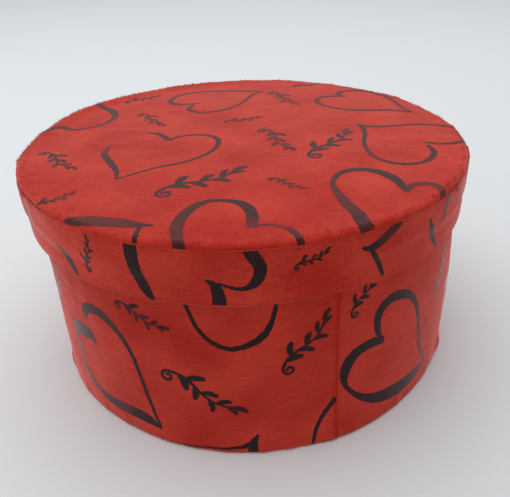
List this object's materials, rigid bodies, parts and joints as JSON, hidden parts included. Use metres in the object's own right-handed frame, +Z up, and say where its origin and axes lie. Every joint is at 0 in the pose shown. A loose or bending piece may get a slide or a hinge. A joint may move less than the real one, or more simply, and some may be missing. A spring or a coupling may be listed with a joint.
{
  "type": "round heart print gift box",
  "caption": "Round gift box with a lift-off lid, greyboard rings and discs covered in red brushed cloth with a black heart print.",
  "frame": {"origin": "centre of the underside, on the surface that the box stands on", "axes": "+Z up along the axis of the box, -Y towards the front, where the seam of the wall cloth is"},
  "size_m": [0.2099, 0.2099, 0.1056],
  "materials": {
    "red_cloth": "brushed pile",
    "black_print": "flock print",
    "greyboard": "pressed fibre",
    "gummed_tape": "kraft",
    "lining_paper": "matt",
    "cover_paper": "matt"
  },
  "bodies": {
    "box_body": {"base_board": "greyboard", "wall_board": "greyboard", "wall_joint_tape": "gummed_tape", "wall_cloth": "red_cloth", "base_cover": "cover_paper", "wall_lining": "lining_paper", "base_lining": "lining_paper", "wall_print": "black_print"},
    "lid": {"lid_top_board": "greyboard", "lid_rim_board": "greyboard", "lid_joint_tape": "gummed_tape", "lid_top_cloth": "red_cloth", "lid_rim_cloth": "red_cloth", "lid_top_lining": "lining_paper", "lid_rim_lining": "lining_paper", "lid_top_print": "black_print", "lid_rim_print": "black_print"}
  },
  "joints": [
    {"name": "lid_lift", "type": "slide", "parent": "box_body", "child": "lid", "axis": [0, 0, 1], "range_m": [0, 0.12]}
  ]
}
